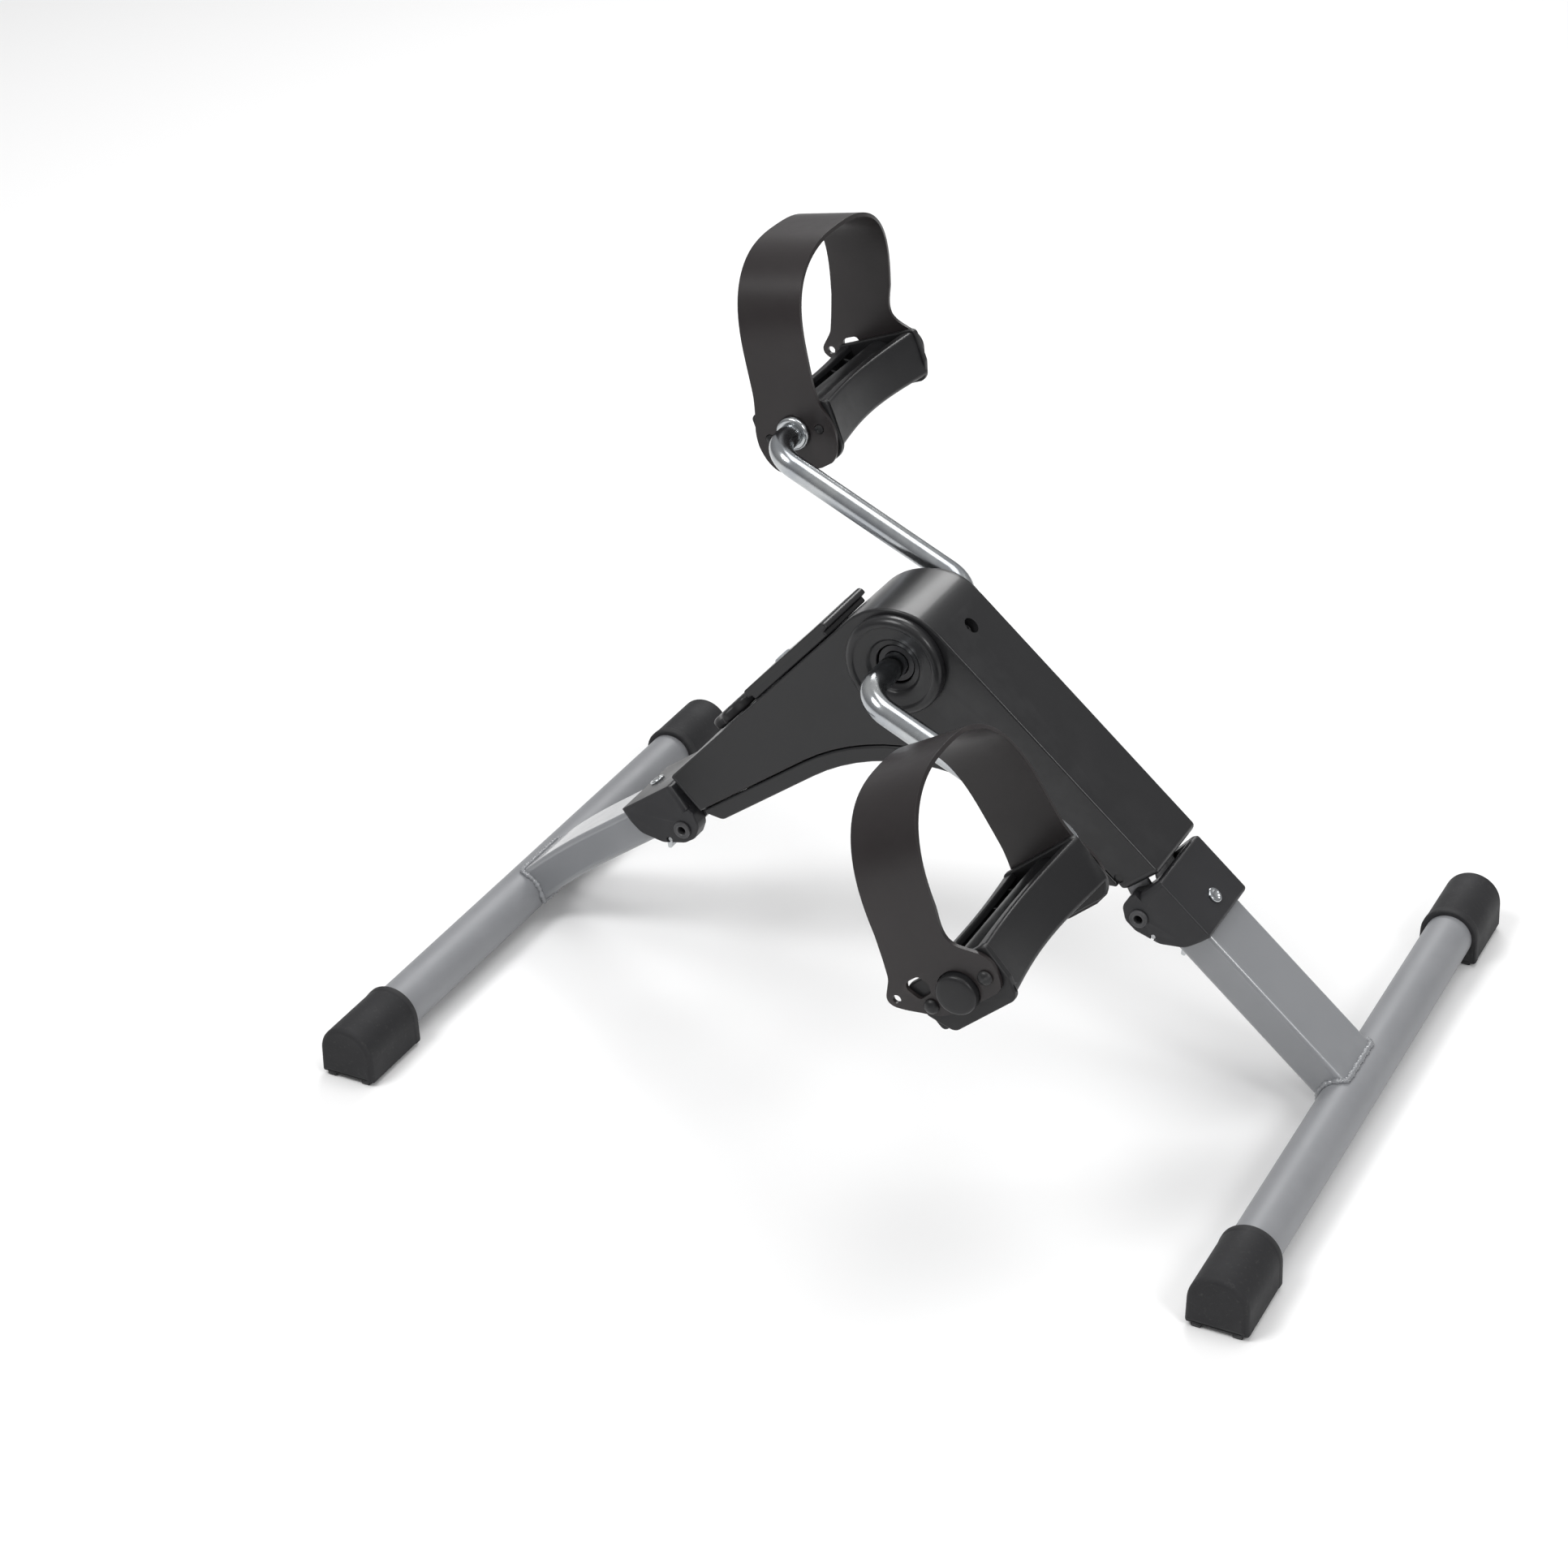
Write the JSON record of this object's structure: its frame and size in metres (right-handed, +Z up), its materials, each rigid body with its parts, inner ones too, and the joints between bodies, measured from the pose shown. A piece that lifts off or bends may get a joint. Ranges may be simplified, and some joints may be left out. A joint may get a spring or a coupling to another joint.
{
  "type": "pedal exerciser",
  "caption": "Folding floor pedal exerciser: an inverted V housing on two T-shaped legs with rubber-capped crossbars, a bent-rod crank, and strapped pedals.",
  "frame": {"origin": "on the floor, at the middle of the object's box", "axes": "+X towards the user's toes, +Y to the user's left, +Z up"},
  "size_m": [0.5066, 0.4164, 0.3652],
  "materials": {
    "housing_plastic": "satin black moulded plastic",
    "bracket_plastic": "matte black moulded plastic",
    "pedal_plastic": "matte black moulded plastic",
    "strap": "smooth black flexible vinyl",
    "foot_rubber": "dull charcoal rubber",
    "silver_paint": "satin silver paint",
    "zinc_plate": "bright zinc plate",
    "plain_steel": "plain steel",
    "black_steel": "blackened steel",
    "nylon": "natural nylon",
    "friction_felt": "friction felt",
    "window": "clear window",
    "screen": "grey-green liquid crystal",
    "board": "green circuit board",
    "button": "grey button"
  },
  "bodies": {
    "housing": {"upper_cover": "housing_plastic", "lower_cover": "housing_plastic", "inner_chassis": "black_steel", "bearing_bush_right": "bracket_plastic", "bearing_bush_left": "bracket_plastic", "bearing_cover_right": "housing_plastic", "bearing_cover_left": "housing_plastic", "brake_band": "friction_felt", "display_case": "housing_plastic", "display_window": "window", "display_screen": "screen", "circuit_board": "board", "reed_sensor": "nylon", "top_cover_screw": "black_steel", "front_cover_screw": "black_steel", "rear_cover_screw": "black_steel", "front_fold_pin": "black_steel", "rear_fold_pin": "black_steel"},
    "crank": {"crank_rod_right": "zinc_plate", "crank_rod_left": "zinc_plate", "brake_drum": "plain_steel", "crank_magnet": "black_steel", "axle_washer_right": "zinc_plate", "axle_washer_left": "zinc_plate", "push_nut_right": "zinc_plate", "push_nut_left": "zinc_plate"},
    "pedal_right": {"pedal_body_right": "pedal_plastic", "pedal_sleeve_right": "nylon", "axle_cap_right": "pedal_plastic", "strap_right": "strap"},
    "pedal_left": {"pedal_body_left": "pedal_plastic", "pedal_sleeve_left": "nylon", "axle_cap_left": "pedal_plastic", "strap_left": "strap"},
    "front_leg": {"front_leg_tube": "silver_paint", "front_crossbar": "silver_paint", "front_weld_bead": "silver_paint", "front_bracket": "bracket_plastic", "front_rivet": "zinc_plate", "front_latch_pin": "plain_steel", "front_latch_spring": "plain_steel", "front_foot_cap_right": "foot_rubber", "front_foot_cap_left": "foot_rubber"},
    "rear_leg": {"rear_leg_tube": "silver_paint", "rear_crossbar": "silver_paint", "rear_weld_bead": "silver_paint", "rear_bracket": "bracket_plastic", "rear_rivet": "zinc_plate", "rear_latch_pin": "plain_steel", "rear_latch_spring": "plain_steel", "rear_foot_cap_right": "foot_rubber", "rear_foot_cap_left": "foot_rubber"},
    "front_latch": {"front_latch_lever": "zinc_plate"},
    "rear_latch": {"rear_latch_lever": "zinc_plate"},
    "tension_control": {"tension_knob": "pedal_plastic", "tension_screw": "plain_steel"},
    "tension_nut": {"tension_nut": "plain_steel"},
    "display_button": {"display_button": "button"}
  },
  "joints": [
    {"name": "crank_spin", "type": "hinge", "parent": "housing", "child": "crank", "pos_m": [-0.0031, 0, 0.213], "axis": [0, 1, 0], "continuous": true},
    {"name": "pedal_right_spin", "type": "hinge", "parent": "crank", "child": "pedal_right", "pos_m": [0.11168, -0.147, 0.15726], "axis": [0, 1, 0], "continuous": true},
    {"name": "pedal_left_spin", "type": "hinge", "parent": "crank", "child": "pedal_left", "pos_m": [-0.11788, 0.147, 0.26874], "axis": [0, 1, 0], "continuous": true},
    {"name": "front_leg_fold", "type": "hinge", "parent": "housing", "child": "front_leg", "pos_m": [0.12835, 0, 0.09865], "axis": [0, 1, 0], "range_deg": [0, 110]},
    {"name": "rear_leg_fold", "type": "hinge", "parent": "housing", "child": "rear_leg", "pos_m": [-0.12961, 0, 0.08555], "axis": [0, -1, 0], "range_deg": [0, 110]},
    {"name": "front_latch_release", "type": "hinge", "parent": "front_leg", "child": "front_latch", "pos_m": [0.13582, 0, 0.08929], "axis": [0, 1, 0], "range_deg": [0, 12], "stiffness_Nm_per_rad": 0.3, "springref_deg": -17.19},
    {"name": "rear_latch_release", "type": "hinge", "parent": "rear_leg", "child": "rear_latch", "pos_m": [-0.13798, 0, 0.07699], "axis": [0, -1, 0], "range_deg": [0, 12], "stiffness_Nm_per_rad": 0.3, "springref_deg": -17.19},
    {"name": "tension_knob_turn", "type": "hinge", "parent": "housing", "child": "tension_control", "pos_m": [-0.10394, 0, 0.15357], "axis": [0.7361, 0, -0.6769], "range_deg": [0, 1080]},
    {"name": "tension_nut_slide", "type": "slide", "parent": "housing", "child": "tension_nut", "axis": [-0.7361, 0, 0.6769], "range_m": [0, 0.00374]},
    {"name": "display_button_press", "type": "slide", "parent": "housing", "child": "display_button", "axis": [0.7361, 0, -0.6769], "range_m": [0, 0.001], "stiffness_N_per_m": 600, "springref_m": -0.001}
  ],
  "couplings": [
    {"joint": "tension_knob_turn", "follows": "tension_nut_slide", "rad_per_m": 5026.5}
  ]
}
